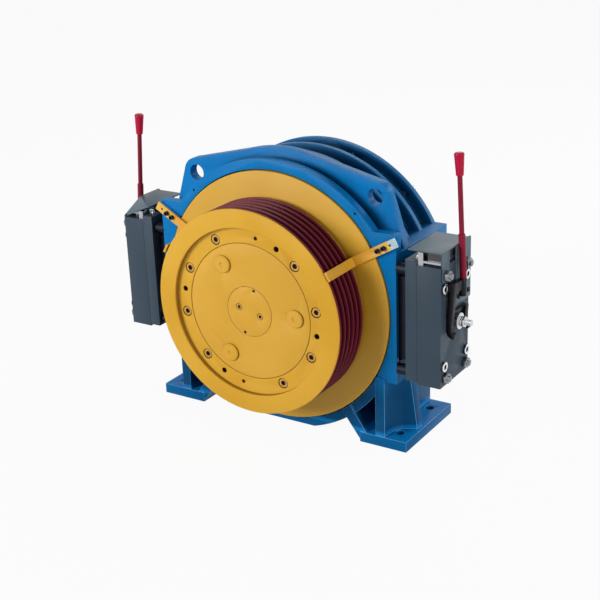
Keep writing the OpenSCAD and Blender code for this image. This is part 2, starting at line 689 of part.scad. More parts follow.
module brake_coils() color(copper) place() for (s = [-1, 1]) on_side(s)
    across_x(magnet_in_x + 0.5, 25.4) difference() {
        polygon(round_rect(69.4, 115.4, 20));
        polygon(round_rect(40.6, 86.6, 8));
    }
// Coil springs, drawn as their turns
module brake_springs() color(steel) place() for (s = [-1, 1]) on_side(s)
    brake_corners(spring_pitch_y, spring_pitch_z) for (i = [0:6])
        translate([magnet_in_x + 2.5 + i * (plug_in - magnet_in_x - 5) / 6, 0, 0])
            rotate([0, 90, 0]) rotate_extrude() translate([spring_bore_r - 2.3, 0]) circle(r = 1.8);
module spring_plugs() color(zinc) place() for (s = [-1, 1]) on_side(s)
    brake_corners(spring_pitch_y, spring_pitch_z) difference() {
        along_x(plug_in + 0.05, brake_out_x + 5, plug_r);
        hex_x(brake_out_x - 3, brake_out_x + 6, 10);
    }
module brake_bolts() color(zinc) place() for (s = [-1, 1]) on_side(s)
    for (sy = [-1, 1]) for (sz = [-1, 1])
        translate([0, brake_mid + sy * brake_bolt_pitch_y / 2, sz * brake_bolt_pitch_z / 2]) {
            // The upper bolts also clamp the switch cover; the left cover has no front leg
            seat = brake_out_x + (sz > 0 && sy + s > -1 ? cover_t + 0.08 : 0.02);
            along_x(241, seat + 13, brake_bolt_d / 2);
            hex_x(seat, seat + 9, 19);
        }
module brake_spacers() color(zinc) place() for (s = [-1, 1]) on_side(s)
    brake_corners(brake_bolt_pitch_y, brake_bolt_pitch_z) difference() {
        along_x(seat_x, magnet_in_x, 10.5);
        along_x(seat_x - cut, magnet_in_x + cut, brake_bolt_d / 2 + fit);
    }

// Armature, shoe and lining move together away from the drum
armature_top = magnet_h / 2 + 8;
armature_bottom = magnet_h / 2 - 4;
module armature(s) color(slate) place() on_side(s) difference() {
    translate([armature_x, brake_back, -armature_bottom])
        cube([armature_t, brake_w, armature_top + armature_bottom]);
    brake_corners(brake_bolt_pitch_y, brake_bolt_pitch_z)
        along_x(armature_x - cut, armature_x + armature_t + cut, 10.5 + slide_fit);
    translate([0, brake_mid, 0]) along_x(armature_x + 2, armature_x + armature_t + cut, 6.02);
    translate([armature_x + 17, 120, armature_top - 14]) cylinder(h = 20, r = 2.52);
}
shoe_in = drum_r + face_gap;
washer_x = brake_out_x + 9.8;
stud_end = washer_x + 24.7;
shoe_out = shoe_in + lining_t;
module brake_shoe(s) color(steel) place() on_side(s) difference() {
    translate([shoe_in, brake_mid - shoe_w / 2, -shoe_h / 2])
        cube([armature_x - shoe_in, shoe_w, shoe_h]);
    turned(0) cylinder(h = 400, r = shoe_out + 0.02);
}
module brake_lining(s) color(black) place() on_side(s) intersection() {
    turned(brake_mid - shoe_w / 2 + 1) difference() {
        cylinder(h = shoe_w - 2, r = shoe_out);
        translate([0, 0, -cut]) cylinder(h = 400, r = shoe_in);
    }
    translate([150, 0, -shoe_h / 2 + 2]) cube([150, 400, shoe_h - 4]);
}
module release_stud(s) color(zinc) place() on_side(s)
    translate([0, brake_mid, 0]) along_x(armature_x + 2.5, stud_end, 6);
// Washer and two thin nuts, one locking the other
module stud_nuts(s) color(zinc) place() on_side(s) translate([0, brake_mid, 0]) {
    difference() {
        along_x(washer_x, washer_x + 2.5, 15.5);
        along_x(washer_x - cut, washer_x + 5, 6.02);
    }
    for (i = [0, 1]) difference() {
        hex_x(washer_x + 2.55 + 5.05 * i, washer_x + 7.55 + 5.05 * i, 19);
        along_x(washer_x, washer_x + 20, 6.02);
    }
}

// ---- Switch covers ----
cover_t = 2;
cover_in = armature_x + 5.5;
cover_top = magnet_h / 2 + 29;
cover_rear = 205;
tab_bottom = 28;
leg_bottom = spring_pitch_z / 2 + plug_r + 3;
// Slanted corner of the left cover: a plane through the top edge, tipped down to the front
module slant() translate([brake_out_x, 150, cover_top]) rotate([0, 33, -47.2]) children();
module switch_cover(s) color(slate) place() on_side(s) difference() {
    union() {
        difference() {
            union() {
                translate([cover_in, brake_back, cover_top - 2.5])
                    cube([brake_out_x + cover_t + 0.05 - cover_in, cover_rear - brake_back, 2.5]);
                translate([brake_out_x + 0.05, brake_back + 2, magnet_h / 2])
                    cube([cover_t, s < 0 ? 60 : 30, cover_top - magnet_h / 2 - 1]);
            }
            if (s < 0) slant() translate([-100, -100, 0]) cube([200, 200, 100]);
        }
        // Leg down to the upper front bolt, or the slanted corner's plate
        if (s > 0) translate([brake_out_x + 0.05, brake_back + 17, (leg_bottom + cover_top - 5) / 2])
            rotate([90, 0, 90]) linear_extrude(cover_t)
                polygon(round_rect(28, cover_top - 5 - leg_bottom, 6));
        else intersection() {
            slant() translate([-100, -100, -cover_t]) cube([200, 200, cover_t]);
            translate([cover_in, brake_back + 0.5, magnet_h / 2 + 5])
                cube([brake_out_x + cover_t + 0.05 - cover_in, 80, cover_top - magnet_h / 2 - 5]);
        }
        // Rear wall
        translate([armature_x + armature_t + 4, cover_rear - cover_t, magnet_h / 2 + 0.05])
            cube([brake_out_x + cover_t - armature_x - armature_t - 4, cover_t, 27]);
        // Fixing tab down the outer face
        translate([brake_out_x + 0.05, 182, (tab_bottom + cover_top) / 2]) rotate([90, 0, 90])
            linear_extrude(cover_t) polygon(round_rect(64, cover_top - tab_bottom, 4));
    }
    for (y = tab_screws) translate([0, y, tab_bottom + 15]) along_x(350, 380, 2.8);
    for (sy = s < 0 ? [1] : [-1, 1])
        translate([0, brake_mid + sy * brake_bolt_pitch_y / 2, brake_bolt_pitch_z / 2])
            along_x(350, 380, brake_bolt_d / 2 + 0.6);
    translate([0, brake_mid + spring_pitch_y / 2, spring_pitch_z / 2]) along_x(350, 380, plug_r + 1);
}
tab_screws = [162, 203];
module cover_screws() color(black) place() {
    for (s = [-1, 1]) on_side(s) for (y = tab_screws) translate([0, y, tab_bottom + 15]) {
        along_x(brake_out_x - 10, brake_out_x + cover_t + 1, 2.5);
        difference() {
            along_x(brake_out_x + cover_t + 0.06, brake_out_x + cover_t + 2.8, 4.5);
            hex_x(brake_out_x + cover_t + 1, brake_out_x + cover_t + 4, 3);
        }
    }
    for (x = [-68, 68]) for (z = [-38, 38]) translate([x, box_rear + 8.05, box_z + z])
        mirror([0, 1, 0]) cap_screw(4, 10);
}
// Switch on its mounting strip, which stands on a block at the magnet's inner edge
switch_x = magnet_in_x + 29;
switch_posts = [114, 146];
pin_z = magnet_h / 2 + 13;
// The left one is smaller and stays under the cover's slanted corner
module microswitch(s) on_side(s) {
    low = s < 0;
    translate([magnet_in_x + 0.5, brake_back + 3, magnet_h / 2 + 0.02]) cube([10.5, 13, low ? 16 : 24.5]);
    translate([magnet_in_x + 10, brake_back + (low ? 13 : 3), magnet_h / 2 + 5.5])
        cube([low ? 26 : 36, low ? 45 : 55, 4]);
    for (y = switch_posts) translate([switch_x, y, magnet_h / 2 - 8]) {
        cylinder(h = 16, r = 2.5);
        translate([0, 0, 8.02]) cylinder(h = 6, r = 4);
    }
    translate([magnet_in_x + 18, brake_back + (low ? 21 : 8), magnet_h / 2 + 9.4])
        cube([low ? 12 : 27, low ? 35 : 44, low ? 7 : 14.5]);
    translate([0, 120, pin_z]) along_x(magnet_in_x + 16.6, magnet_in_x + 19, 2);
}
module microswitches() color(black) place() for (s = [-1, 1]) microswitch(s);
module switch_bracket(s) color(zinc) place() on_side(s) {
    translate([armature_x + 12, 113, armature_top + 0.02]) cube([9, 14, 2]);
    translate([armature_x + 19, 113, armature_top + 1]) cube([2, 14, 16]);
    translate([0, 120, pin_z]) along_x(armature_x + 20, magnet_in_x + 15.8, 2.5);
    translate([armature_x + 17, 120, armature_top - 10]) cylinder(h = 16, r = 2.5);
}

// ---- Release levers ----
heel_x = 375;
heel_z = -10;
heel_r = 13.5;
heel_in = heel_x - heel_r;
lever_z = 80;                     // height above the shaft at which the rod is lever_x out
boss_low = 48;
boss_top = 81.5;
cheek_front = brake_mid - 36;
cheek_t = 12;
left_rod_more = 4;                // the left rod is screwed out further
module lever_line() translate([lever_x, lever_back, lever_z]) rotate([-1.4, -lever_lean, 0]) children();
// Side view of the yoke's cheek: it leans out from a heel that is curled outwards
module cheek_outline(top) {
    polygon([
        [heel_in, heel_z], [heel_in, 0], [heel_in + 0.045 * top, top],
        [heel_in + 9.5 + 0.075 * top, top], [heel_in + 9.5, 0], [heel_in + 9.5, heel_z]
    ]);
    intersection() {
        translate([heel_x, heel_z]) difference() {
            circle(r = heel_r);
            translate([1.5, 1.2]) circle(r = 5.3);
        }
        translate([heel_in - 1, heel_z - heel_r - 1]) square([heel_r + 2.8, heel_r + 1.01]);
    }
}
module release_yoke(s) color(black) place() on_side(s) difference() {
    union() {
        slab(cheek_front, cheek_t) cheek_outline(84);
        slab(2 * brake_mid - cheek_front - cheek_t, cheek_t) cheek_outline(22);
        translate([heel_in, cheek_front, 14]) cube([5.8, 2 * (brake_mid - cheek_front), 8]);
        // Arm across to the boss that holds the rod
        translate([heel_in + 4, cheek_front + 6, 62]) cube([10, lever_back - cheek_front - 8, 18.5]);
        translate([lever_x - 0.8, lever_back, boss_low]) cylinder(h = boss_top - boss_low, r = 7);
    }
    lever_line() translate([0, 0, -12.5]) cylinder(h = 30, r = 4 + fit);
}
module lever_rod(s) color(crimson) place() on_side(s) lever_line() {
    more = s < 0 ? left_rod_more : 0;
    translate([0, 0, -12]) cylinder(h = 20, r = 4);
    shoulder = boss_top - lever_z + 0.5;
    translate([0, 0, shoulder]) cylinder(h = 82.5 + more, r = 6.3);
    translate([0, 0, shoulder]) cylinder(h = rod_len + 36 + more - shoulder, r = rod_r);
}
module lever_grip(s) color(crimson) place() on_side(s)
    lever_line() translate([0, 0, rod_len + 10 + (s < 0 ? left_rod_more : 0)]) difference() {
        rotate_extrude() polygon([
            [0, 0], [6, 0], [7, 1.5], [grip_r - 0.4, grip_len - 6], [grip_r, grip_len - 4],
            [grip_r - 0.5, grip_len - 1.5], [grip_r - 2.5, grip_len], [0, grip_len]
        ]);
        translate([0, 0, -cut]) cylinder(h = 28, r = rod_r + fit);
    }

module magnet_body_left() magnet_body(-1);
module armature_left() armature(-1);
module brake_shoe_left() brake_shoe(-1);
module brake_lining_left() brake_lining(-1);
module release_stud_left() release_stud(-1);
module stud_nuts_left() stud_nuts(-1);
module switch_cover_left() switch_cover(-1);
module switch_bracket_left() switch_bracket(-1);
module release_yoke_left() release_yoke(-1);
module lever_rod_left() lever_rod(-1);
module lever_grip_left() lever_grip(-1);
module magnet_body_right() magnet_body(1);
module armature_right() armature(1);
module brake_shoe_right() brake_shoe(1);
module brake_lining_right() brake_lining(1);
module release_stud_right() release_stud(1);
module stud_nuts_right() stud_nuts(1);
module switch_cover_right() switch_cover(1);
module switch_bracket_right() switch_bracket(1);
module release_yoke_right() release_yoke(1);
module lever_rod_right() lever_rod(1);
module lever_grip_right() lever_grip(1);

frame();
foot_left();
foot_right();
stator_carrier();
carrier_bolts();
stator_core();
stator_winding();
main_bearing_outer();
rear_bearing_outer();
terminal_box();
terminal_box_lid();
cable_glands();
encoder();
encoder_cover();
rope_guard_left();
rope_guard_right();
rope_guard_screws();
rotor();
magnets();
sheave();
sheave_screws();
sheave_dowels();
shaft();
shaft_key();
shaft_end_plate();
end_plate_screws();
hub_plugs();
main_bearing_inner();
rear_bearing_inner();
bearing_balls();
shaft_locknut();
brake_bolts();
brake_spacers();
spring_plugs();
brake_coils();
cover_screws();
magnet_body_left();
brake_springs();
armature_left();
brake_shoe_left();
brake_lining_left();
release_stud_left();
stud_nuts_left();
switch_cover_left();
microswitches();
switch_bracket_left();
release_yoke_left();
lever_rod_left();
lever_grip_left();
magnet_body_right();
armature_right();
brake_shoe_right();
brake_lining_right();
release_stud_right();
stud_nuts_right();
switch_cover_right();
switch_bracket_right();
release_yoke_right();
lever_rod_right();
lever_grip_right();
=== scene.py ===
import bpy
import json
import math
from mathutils import Matrix, Vector

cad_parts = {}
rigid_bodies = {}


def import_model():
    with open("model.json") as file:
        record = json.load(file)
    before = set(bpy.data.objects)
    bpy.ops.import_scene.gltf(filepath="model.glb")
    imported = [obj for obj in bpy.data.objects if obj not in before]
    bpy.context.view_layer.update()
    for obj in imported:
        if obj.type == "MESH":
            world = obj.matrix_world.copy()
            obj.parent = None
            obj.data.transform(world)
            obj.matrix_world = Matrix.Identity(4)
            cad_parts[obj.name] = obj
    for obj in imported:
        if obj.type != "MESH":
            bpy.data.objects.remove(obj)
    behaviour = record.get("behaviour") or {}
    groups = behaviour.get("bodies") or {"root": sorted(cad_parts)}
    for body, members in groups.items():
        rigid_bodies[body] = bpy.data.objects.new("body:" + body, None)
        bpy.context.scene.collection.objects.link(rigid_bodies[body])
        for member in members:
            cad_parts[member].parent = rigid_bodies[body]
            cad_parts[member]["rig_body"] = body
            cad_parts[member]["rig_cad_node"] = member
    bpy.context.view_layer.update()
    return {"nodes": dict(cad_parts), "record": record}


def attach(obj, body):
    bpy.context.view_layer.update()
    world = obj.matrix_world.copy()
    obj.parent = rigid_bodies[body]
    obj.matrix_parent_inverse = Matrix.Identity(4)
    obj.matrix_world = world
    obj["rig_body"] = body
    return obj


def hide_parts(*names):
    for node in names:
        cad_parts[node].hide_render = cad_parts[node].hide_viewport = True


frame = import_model()
print("machine loaded:", len(frame["nodes"]), "nodes")

shaftHeight = 0.267
sheaveFace = -0.191     # front of the rope sheave, along Y


# shader maths as plain expressions

class Wire:
    def __init__(self, paint, socket):
        self.paint, self.socket = paint, socket

    def maths(self, kind, other=0.0, swap=False):
        first, second = (other, self) if swap else (self, other)
        return self.paint.node("ShaderNodeMath", {"operation": kind}, {0: first, 1: second})

    def __add__(self, other): return self.maths("ADD", other)
    def __radd__(self, other): return self.maths("ADD", other, True)
    def __sub__(self, other): return self.maths("SUBTRACT", other)
    def __rsub__(self, other): return self.maths("SUBTRACT", other, True)
    def __mul__(self, other): return self.maths("MULTIPLY", other)
    def __rmul__(self, other): return self.maths("MULTIPLY", other, True)
    def __pow__(self, other): return self.maths("POWER", other)
    def sine(self): return self.maths("SINE")
    def size(self): return self.maths("ABSOLUTE")
    def least(self, other): return self.maths("MINIMUM", other)
    def most(self, other): return self.maths("MAXIMUM", other)

    def step(self, low, high):      # 0 below low, 1 above high, smooth between
        return self.paint.node("ShaderNodeMapRange", {"interpolation_type": "SMOOTHSTEP"},
                               {"Value": self, "From Min": low, "From Max": high})


class Paint:
    def __init__(self, name, **shader):
        self.material = bpy.data.materials.new(name)
        self.material.use_nodes = True
        self.tree = self.material.node_tree
        self.shader = self.tree.nodes["Principled BSDF"]
        for socket, value in shader.items():
            self.shader.inputs[socket.replace("_", " ")].default_value = value
        self.place = self.node("ShaderNodeTexCoord", {}, {}, "Object")
        self.x, self.y, self.z = [self.node("ShaderNodeSeparateXYZ", {}, {0: self.place}, i)
                                  for i in range(3)]

    def node(self, kind, settings, sockets, out=0):
        made = self.tree.nodes.new(kind)
        for name, value in settings.items():
            if name == "stops":
                ramp = made.color_ramp
                while len(ramp.elements) < len(value):
                    ramp.elements.new(0.5)
                for element, (spot, colour) in zip(ramp.elements, value):
                    element.position, element.color = spot, (*colour, 1)
            else:
                setattr(made, name, value)
        for name, value in sockets.items():
            if isinstance(value, Wire):
                self.tree.links.new(value.socket, made.inputs[name])
            else:
                made.inputs[name].default_value = value
        return Wire(self, made.outputs[out])

    def noise(self, scale, detail=3.0, rough=0.5, stretch=(1, 1, 1)):
        spot = self.place
        if stretch != (1, 1, 1):
            spot = self.node("ShaderNodeMapping", {}, {"Vector": spot, "Scale": stretch})
        return self.node("ShaderNodeTexNoise", {}, {"Vector": spot, "Scale": scale, "Detail": detail,
                                                    "Roughness": rough})

    def mix(self, share, first, second):
        made = self.tree.nodes.new("ShaderNodeMix")
        made.data_type = "RGBA"
        for slot, value in ((0, share), (6, first), (7, second)):
            if isinstance(value, Wire):
                self.tree.links.new(value.socket, made.inputs[slot])
            else:
                made.inputs[slot].default_value = value if slot == 0 else (*value, 1)
        return Wire(self, made.outputs[2])

    def bump(self, height, depth, strength=1.0, under=None):
        sockets = {"Height": height, "Distance": depth, "Strength": strength}
        if under:
            sockets["Normal"] = under
        return self.node("ShaderNodeBump", {}, sockets)

    def feed(self, **wires):
        for socket, wire in wires.items():
            self.tree.links.new(wire.socket, self.shader.inputs[socket.replace("_", " ")])
        return self.material

    def aroundShaft(self):      # distance from the shaft's axis
        rise = self.z - shaftHeight
        return (self.x * self.x + rise * rise) ** 0.5


def darker(colour, share):
    return tuple(c * share for c in colour)


# painted shade: darker between the ribs and on the feet's walls and plate fronts, but not on the tops of their
# plates
footTop = 0.021


def paintedShade(paint):
    between = (1 - paint.aroundShaft().step(0.262, 0.280)) * (paint.y - sheaveFace).step(0.1225, 0.1240)
    plate = 1 - paint.z.step(footTop - 0.0010, footTop - 0.0004)
    shadedWall = paint.z.step(footTop + 0.003, footTop + 0.012) * (1 - paint.z.step(0.09, 0.17))
    return between.most(plate * 0.5).most(shadedWall * 0.85)


# enamel over a casting or a plate: even colour, faint blotches, orange peel and, where asked, painted shade
def enamel(name, colour, gloss=0.32, peel=0.00012, blotch=0.10, coat=0.25, coarse=420, grain=0.0, sheen=0.3,
           paintedShadeShare=0.0):
    paint = Paint(name, Roughness=gloss, Coat_Weight=coat, Coat_Roughness=0.12, Specular_IOR_Level=sheen)
    wide, fine = paint.noise(7, 4), paint.noise(coarse, 2)
    tone = paint.mix(wide.step(0.3, 0.7), darker(colour, 1 - blotch), darker(colour, 1 + blotch * 0.6))
    # painted shade: darkens the paint between the ribs and on the feet
    if paintedShadeShare:
        tone = paint.mix(paintedShade(paint) * paintedShadeShare, tone, darker(colour, 0.12))
    normal = paint.bump(fine, peel)
    if grain:
        normal = paint.bump(paint.noise(95, 5, 0.65), grain, under=normal)
    return paint.feed(Base_Color=tone, Roughness=gloss - 0.05 + wide * 0.12 + fine * 0.06, Normal=normal)


coats = {
    "castBlue": dict(colour=(0.003, 0.175, 0.470), gloss=0.32, blotch=0.14, grain=0.00035, coat=0.0, sheen=0.07,
                     paintedShadeShare=0.85),
    "shieldBlue": dict(colour=(0.004, 0.18, 0.46), gloss=0.32, blotch=0.08, grain=0.0002, coat=0.0, sheen=0.14),
    "slate": dict(colour=(0.040, 0.062, 0.086), gloss=0.42, blotch=0.10, grain=0.0, coat=0.0, sheen=0.16),
    "slateSheet": dict(colour=(0.066, 0.108, 0.136), gloss=0.40, blotch=0.08, grain=0.0, coat=0.05),
    "redEnamel": dict(colour=(0.23, 0.008, 0.028), gloss=0.30, blotch=0.08, grain=0.0, coat=0.0, sheen=0.14),
    "gripRed": dict(colour=(0.44, 0.006, 0.040), gloss=0.30, blotch=0.08, grain=0.0, coat=0.0, sheen=0.14),
    "blackOxide": dict(colour=(0.004, 0.004, 0.007), gloss=0.36, blotch=0.3, grain=0.0, coat=0.0, sheen=0.2),
    # lighter copies of the paints, painted highlights for the eased edges
    "castEdgeHighlight": dict(colour=(0.085, 0.34, 0.62), gloss=0.28, blotch=0.12, grain=0.0, coat=0.0, sheen=0.3),
    "slateEdgeHighlight": dict(colour=(0.11, 0.14, 0.165), gloss=0.36, blotch=0.12, grain=0.0, coat=0.0, sheen=0.3),
    "ochreEdgeHighlight": dict(colour=(0.74, 0.44, 0.07), gloss=0.32, blotch=0.08, grain=0.0, coat=0.0, sheen=0.4),
}
finishes = {name: enamel(name, **settings) for name, settings in coats.items()}

ochre = {"face": (0.68, 0.378, 0.038), "shade": (0.63, 0.335, 0.024), "gloss": 0.36}
maroonRimFloorShade = {"ridge": (0.150, 0.012, 0.028), "floor": (0.040, 0.004, 0.008)}
rings = {"grooveFloor": 0.1985, "grooveTop": 0.2035, "recessEdge": 0.1672, "hubFace": 0.0118, "joint": 0.136,
         "endPlate": 0.050, "toolMarks": 0.0009}
# brown for grease in the joints, also used as painted shade
greaseAndShadeBrown = (0.085, 0.036, 0.009)


# old grease darkens the joints, and painted shade darkens the holes, sockets and sunk parts in the hub's face
def greaseAndHoleShade(paint, tone, depth=rings["hubFace"]):
    behind = paint.y - sheaveFace
    radius = paint.aroundShaft()
    inRecess = 1 - radius.step(rings["recessEdge"], rings["recessEdge"] + 0.0004)
    # painted shade: everything sunk deeper than the given depth is darkened
    holeShade = behind.step(depth, depth + 0.0007)
    joint = 1 - (radius - rings["joint"]).size().step(0.0007, 0.0013).least(
        (radius - rings["endPlate"]).size().step(0.0005, 0.0011))
    return paint.mix(holeShade.most(joint * 0.5) * inRecess, tone, greaseAndShadeBrown)


def ochreEnamel(name, depth):
    paint = Paint(name, Roughness=ochre["gloss"], Coat_Weight=0.05, Coat_Roughness=0.2,
                  Specular_IOR_Level=0.3)
    wide, fine = paint.noise(5, 4), paint.noise(520, 2)
    tone = paint.mix(wide.step(0.35, 0.65), ochre["shade"], ochre["face"])
    return paint.feed(Base_Color=greaseAndHoleShade(paint, tone, depth), Normal=paint.bump(fine, 0.00008),
                      Roughness=ochre["gloss"] - 0.05 + wide * 0.1)


# the sheave is ochre on its faces and maroon over its grooves
def sheaveEnamel():
    paint = Paint("sheaveEnamel", Roughness=0.36, Specular_IOR_Level=0.16)
    wide, fine = paint.noise(5, 4), paint.noise(520, 2)
    radius = paint.aroundShaft()
    behind = paint.y - sheaveFace
    grooved = radius.step(0.1855, 0.1860) * behind.step(0.0012, 0.0020) * (1 - behind.step(0.0942, 0.0950))
    face = paint.mix(wide.step(0.35, 0.65), ochre["shade"], ochre["face"])
    # painted shade: the recess wall is darkened brown
    shadedWall = radius.step(0.1674, 0.1678) * (1 - radius.step(0.1684, 0.1688)) * behind.step(0.0015, 0.004)
    face = paint.mix(shadedWall * 0.65, face, greaseAndShadeBrown)
    # painted shade: the groove floors are painted darker maroon than the ridges
    onRidge = radius.step(rings["grooveFloor"], rings["grooveTop"])
    paintedLightPart = paint.mix(onRidge, maroonRimFloorShade["floor"], maroonRimFloorShade["ridge"])
    marks = (behind * (2 * math.pi / rings["toolMarks"])).sine()
    turned = marks * 0.5 + paint.noise(160, 3, 0.6, (1, 8, 1)) * 1.2
    normal = paint.bump(fine + turned * grooved * 0.6, 0.00008)
    return paint.feed(Base_Color=paint.mix(grooved, greaseAndHoleShade(paint, face), paintedLightPart), Normal=normal,
                      Roughness=ochre["gloss"] + wide * 0.1 + grooved * 0.02)


# bright zinc plate, and machined steel
def plated(name, colour, gloss, streak=0.25, threads=None):
    paint = Paint(name, Metallic=1.0, Roughness=gloss)
    cloud, scratch = paint.noise(60, 4), paint.noise(900, 3, 0.6, (1, 0.15, 1))
    tone = paint.mix(cloud, darker(colour, 1 - streak), colour)
    height = scratch
    if threads:
        turns = (paint.x * (2 * math.pi / threads["pitch"])).sine() * 0.5
        height = scratch * 0.1 + turns * paint.x.size().step(threads["from"], threads["from"] + 0.0005)
    normal = paint.bump(height, threads["depth"] if threads else 0.00002)
    return paint.feed(Base_Color=tone, Roughness=gloss - 0.04 + scratch * 0.12, Normal=normal)


def screwEnamel():
    paint = Paint("screwEnamel", Roughness=0.38, Specular_IOR_Level=0.4)
    worn = paint.noise(120, 3)
    tone = paint.mix(worn.step(0.4, 0.65), (0.60, 0.33, 0.05), (0.42, 0.25, 0.06))
    return paint.feed(Base_Color=greaseAndHoleShade(paint, tone, 0.0125), Normal=paint.bump(paint.noise(600, 2), 0.00006),
                      Roughness=0.34 + worn * 0.12)


# spring plugs are bright on their rims, with painted shade below them on their sides and in their sockets
def plugFinish():
    paint = Paint("plugRimAndShade", Metallic=1.0, Roughness=0.25)
    # painted shade: all below the rim face is dark
    rim = paint.x.size().step(0.3648, 0.3652)
    cloud = paint.noise(200, 3)
    return paint.feed(Base_Color=paint.mix(rim, (0.05, 0.052, 0.06), (0.80, 0.82, 0.84)),
                      Roughness=0.22 + cloud * 0.12, Normal=paint.bump(cloud, 0.00003))


finishes["screwEnamel"] = screwEnamel()
finishes["ochre"] = ochreEnamel("ochreEnamel", rings["hubFace"])
finishes["cap"] = ochreEnamel("capEnamel", 0.0086)
finishes["sheave"] = sheaveEnamel()
finishes["zinc"] = plated("zincPlate", (0.78, 0.80, 0.82), 0.24)
finishes["stud"] = plated("zincThread", (0.74, 0.76, 0.78), 0.28,
                          threads={"pitch": 0.00175, "from": 0.366, "depth": 0.0004})
finishes["plug"] = plugFinish()
finishes["steel"] = plated("machinedSteel", (0.52, 0.53, 0.55), 0.34)
# dark steel; on the brake spacers in the gap it also stands in for the shade there, as painted shade
finishes["darkSteelGapShade"] = plated("darkSteelGapShade", (0.022, 0.026, 0.036), 0.5)
finishes["boltSteel"] = plated("boltSteel", (0.26, 0.28, 0.30), 0.24)
finishes["copper"] = plated("enamelledCopper", (0.72, 0.33, 0.16), 0.35)


def moulded(name, colour, gloss):
    paint = Paint(name, Roughness=gloss)
    fine = paint.noise(1400, 2)
    return paint.feed(Base_Color=paint.mix(paint.noise(30, 3), darker(colour, 0.8), darker(colour, 1.2)),
                      Normal=paint.bump(fine, 0.00005), Roughness=gloss + fine * 0.08)


finishes["blackPlastic"] = moulded("blackPlastic", (0.018, 0.018, 0.02), 0.45)
finishes["lining"] = moulded("pressedLining", (0.05, 0.042, 0.036), 0.85)


# strap paint with painted highlights: paler towards its outer end, and a pale blue-white tip on the right-hand
# guard
def strapEnamel():
    paint = Paint("strapEnamel", Roughness=0.36, Coat_Weight=0.2)
    radius = paint.aroundShaft()
    # painted highlight: paler paint beyond the flange's rim, and a pale tip on the right-hand guard only
    paintedLightPart = radius.step(0.262, 0.272) * 0.75
    tipHighlight = radius.step(0.2955, 0.2985) * paint.x.step(0.0, 0.01)
    tone = paint.mix(paintedLightPart, (0.68, 0.33, 0.010), (0.76, 0.46, 0.08))
    return paint.feed(Base_Color=paint.mix(tipHighlight, tone, (0.42, 0.56, 0.60)),
                      Normal=paint.bump(paint.noise(500, 2), 0.00008),
                      Roughness=0.34 + radius.step(0.26, 0.3) * 0.1)


# zinc leg, strip and posts, and a moulded body on top
def switchFinish():
    paint = Paint("switchParts", Roughness=0.4)
    top = paint.z.step(shaftHeight + 0.1265, shaftHeight + 0.1267) * paint.x.size().step(0.3250, 0.3252)
    return paint.feed(Base_Color=paint.mix(top, (0.40, 0.42, 0.44), (0.030, 0.024, 0.036)), Metallic=1 - top,
                      Normal=paint.bump(paint.noise(700, 2), 0.00003), Roughness=0.28 + top * 0.15)


finishes["strap"] = strapEnamel()
finishes["switch"] = switchFinish()
print("finishes mixed:", len(finishes))

wear = {
    "castBlue": ["frame", "foot_left", "foot_right"],
    "shieldBlue": ["stator_carrier", "terminal_box", "terminal_box_lid"],
    "ochre": ["rotor", "shaft_end_plate"],
    "cap": ["hub_plugs"],
    "screwEnamel": ["sheave_screws", "end_plate_screws", "sheave_dowels"],
    "sheave": ["sheave"],
    "strap": ["rope_guard_left", "rope_guard_right"],
    "slate": ["magnet_body_left", "magnet_body_right", "armature_left", "armature_right"],
    "slateSheet": ["switch_cover_left", "switch_cover_right"],
    "blackOxide": ["release_yoke_left", "release_yoke_right", "cover_screws"],
    "redEnamel": ["lever_rod_left", "lever_rod_right"],
    "gripRed": ["lever_grip_left", "lever_grip_right"],
    "darkSteelGapShade": ["brake_spacers", "brake_shoe_left", "brake_shoe_right", "rope_guard_screws"],
    "plug": ["spring_plugs"],
    "zinc": ["stud_nuts_left", "stud_nuts_right", "switch_bracket_left", "switch_bracket_right"],
    "boltSteel": ["brake_bolts"],
    "stud": ["release_stud_left", "release_stud_right"],
    "blackPlastic": ["cable_glands", "encoder", "encoder_cover"],
    "lining": ["brake_lining_left", "brake_lining_right"],
    "copper": ["stator_winding", "brake_coils"],
    "switch": ["microswitches"],
}
edges = {"castBlue": "castEdgeHighlight", "slate": "slateEdgeHighlight", "ochre": "ochreEdgeHighlight", "slateSheet": "slateEdgeHighlight"}
worn = {node: finish for finish, nodes in wear.items() for node in nodes}
for name, node in frame["nodes"].items():
    node.data.materials.clear()
    node.data.materials.append(finishes[worn.get(name, "steel")])
print("finishes given to the nodes")


# castings and plates get eased edges, so that they catch the light; painted ones also take a lighter copy of
# their paint there, a painted highlight
def only(piece):
    if bpy.context.object and bpy.context.object.mode != "OBJECT":
        bpy.ops.object.mode_set(mode="OBJECT")
    bpy.ops.object.select_all(action="DESELECT")
    piece.select_set(True)
    bpy.context.view_layer.objects.active = piece


